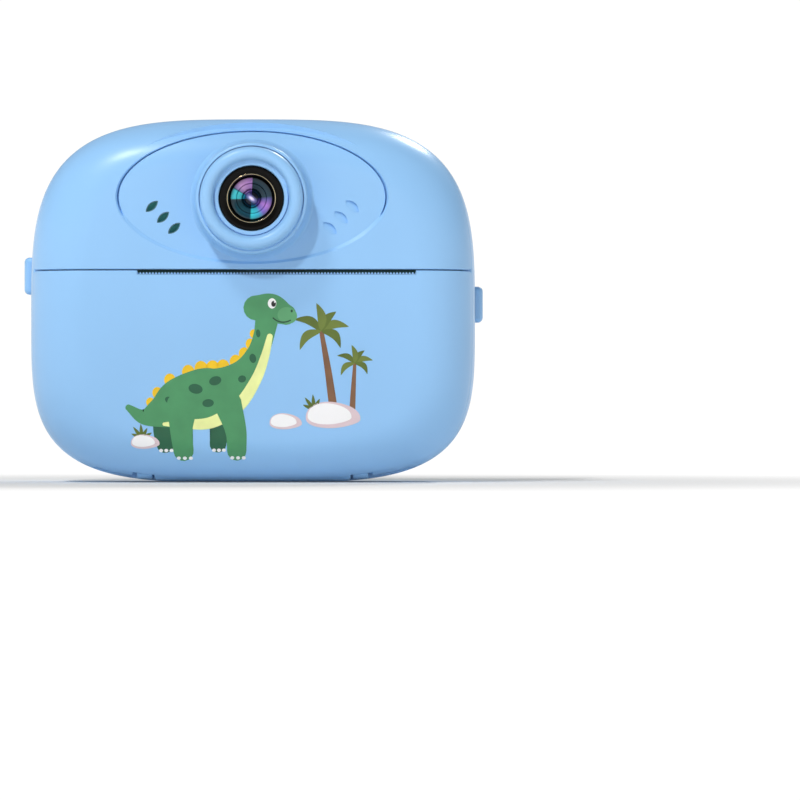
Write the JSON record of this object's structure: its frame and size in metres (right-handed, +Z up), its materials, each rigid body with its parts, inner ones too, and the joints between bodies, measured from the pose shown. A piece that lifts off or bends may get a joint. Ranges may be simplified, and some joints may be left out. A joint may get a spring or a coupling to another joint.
{
  "type": "instant-print camera",
  "caption": "Rounded toy instant-print camera with a flip-down paper door, thermal printer, lens, rear screen and buttons.",
  "frame": {"origin": "bottom centre of the bounding box, on the surface that the camera stands on", "axes": "+Z up; the lens looks towards -Y and the screen faces +Y; +X is the right of someone who faces the lens"},
  "size_m": [0.1036, 0.055, 0.0815],
  "materials": {
    "case_blue": "smooth satin-gloss moulded plastic",
    "button_blue": "soft satin moulded plastic with engraved symbols",
    "navy_panel": "polished dark navy window plate",
    "screen_glass": "display glass over a lit picture",
    "black_plastic": "fine-textured black plastic",
    "grey_plastic": "moulded dark grey plastic",
    "white_plastic": "natural white moulded plastic",
    "gold": "turned gold-coloured ring",
    "coated_glass": "lens glass with purple and cyan coating",
    "green_mesh": "dark green acoustic mesh",
    "steel": "plain steel",
    "brass": "cut brass",
    "rubber": "matte black rubber",
    "paper": "thermal paper",
    "cardboard": "wound cardboard tube",
    "board_green": "solder-masked circuit board",
    "ceramic": "glazed thermal head substrate",
    "cell_silver": "foil pouch and pressed metal",
    "flex_amber": "polyimide ribbon"
  },
  "bodies": {
    "case": {"front_cover": "case_blue", "rear_shell": "case_blue", "mid_frame": "white_plastic", "lens_barrel": "case_blue", "lens_bezel": "black_plastic", "lens_trim_ring": "gold", "front_lens": "coated_glass", "inner_lens": "coated_glass", "camera_module": "black_plastic", "sensor_board": "board_green", "speaker_mesh": "green_mesh", "speaker": "black_plastic", "tear_bar": "black_plastic", "print_head": "ceramic", "head_heat_sink": "steel", "print_head_bracket": "grey_plastic", "head_spring_left": "steel", "head_spring_right": "steel", "print_flex": "flex_amber", "idler_axle": "steel", "print_motor": "steel", "gear_plate": "steel", "paper_bay": "white_plastic", "hinge_pin": "steel", "strap_lug": "case_blue", "main_board": "board_green", "battery": "cell_silver", "lcd_module": "cell_silver", "screen_glass": "screen_glass", "screen_panel": "navy_panel", "button_pad": "rubber", "selfie_bezel": "black_plastic", "selfie_lens": "coated_glass", "selfie_module": "black_plastic", "microphone": "steel", "usb_port": "steel", "card_socket": "steel", "case_screw_1": "steel", "case_screw_2": "steel", "case_screw_3": "steel", "case_screw_4": "steel"},
    "door": {"paper_door": "case_blue", "platen_bracket": "grey_plastic"},
    "platen": {"platen_roller": "rubber", "platen_shaft": "steel", "platen_gear": "white_plastic"},
    "idler": {"idler_gear": "white_plastic"},
    "motor_rotor": {"motor_pinion": "brass", "motor_shaft": "steel"},
    "roll": {"paper_roll": "paper", "paper_core": "cardboard"},
    "latch": {"latch_button": "case_blue"},
    "card": {"memory_card": "black_plastic"},
    "shutter_key": {"shutter_button": "button_blue"},
    "power_key": {"power_button": "button_blue"},
    "print_key": {"print_button": "button_blue"},
    "up_key": {"up_button": "button_blue"},
    "album_key": {"album_button": "button_blue"},
    "down_key": {"down_button": "button_blue"}
  },
  "joints": [
    {"name": "door_hinge", "type": "hinge", "parent": "case", "child": "door", "pos_m": [0, -0.009, 0.0029], "axis": [1, 0, 0], "range_deg": [0, 60]},
    {"name": "platen_spin", "type": "hinge", "parent": "door", "child": "platen", "pos_m": [-0.028, -0.01, 0.041], "axis": [1, 0, 0], "continuous": true},
    {"name": "idler_spin", "type": "hinge", "parent": "case", "child": "idler", "pos_m": [-0.028, 0.0026, 0.041], "axis": [1, 0, 0], "continuous": true},
    {"name": "motor_spin", "type": "hinge", "parent": "case", "child": "motor_rotor", "pos_m": [-0.028, 0.00629, 0.03085], "axis": [1, 0, 0], "continuous": true},
    {"name": "roll_spin", "type": "hinge", "parent": "case", "child": "roll", "pos_m": [0.0055, -0.0016, 0.022], "axis": [1, 0, 0], "continuous": true},
    {"name": "latch_press", "type": "slide", "parent": "case", "child": "latch", "axis": [-1, 0, 0], "range_m": [0, 0.0015], "stiffness_N_per_m": 500},
    {"name": "card_slide", "type": "slide", "parent": "case", "child": "card", "axis": [-1, 0, 0], "range_m": [0, 0.012]},
    {"name": "shutter_press", "type": "slide", "parent": "case", "child": "shutter_key", "axis": [0, -1, 0], "range_m": [0, 0.0008], "stiffness_N_per_m": 900},
    {"name": "power_press", "type": "slide", "parent": "case", "child": "power_key", "axis": [0, -1, 0], "range_m": [0, 0.0008], "stiffness_N_per_m": 900},
    {"name": "print_press", "type": "slide", "parent": "case", "child": "print_key", "axis": [0, -1, 0], "range_m": [0, 0.0008], "stiffness_N_per_m": 900},
    {"name": "up_press", "type": "slide", "parent": "case", "child": "up_key", "axis": [0, -1, 0], "range_m": [0, 0.0008], "stiffness_N_per_m": 900},
    {"name": "album_press", "type": "slide", "parent": "case", "child": "album_key", "axis": [0, -1, 0], "range_m": [0, 0.0008], "stiffness_N_per_m": 900},
    {"name": "down_press", "type": "slide", "parent": "case", "child": "down_key", "axis": [0, -1, 0], "range_m": [0, 0.0008], "stiffness_N_per_m": 900}
  ],
  "couplings": [
    {"joint": "idler_spin", "follows": "platen_spin", "ratio": -0.75},
    {"joint": "motor_spin", "follows": "platen_spin", "ratio": 1.5}
  ]
}
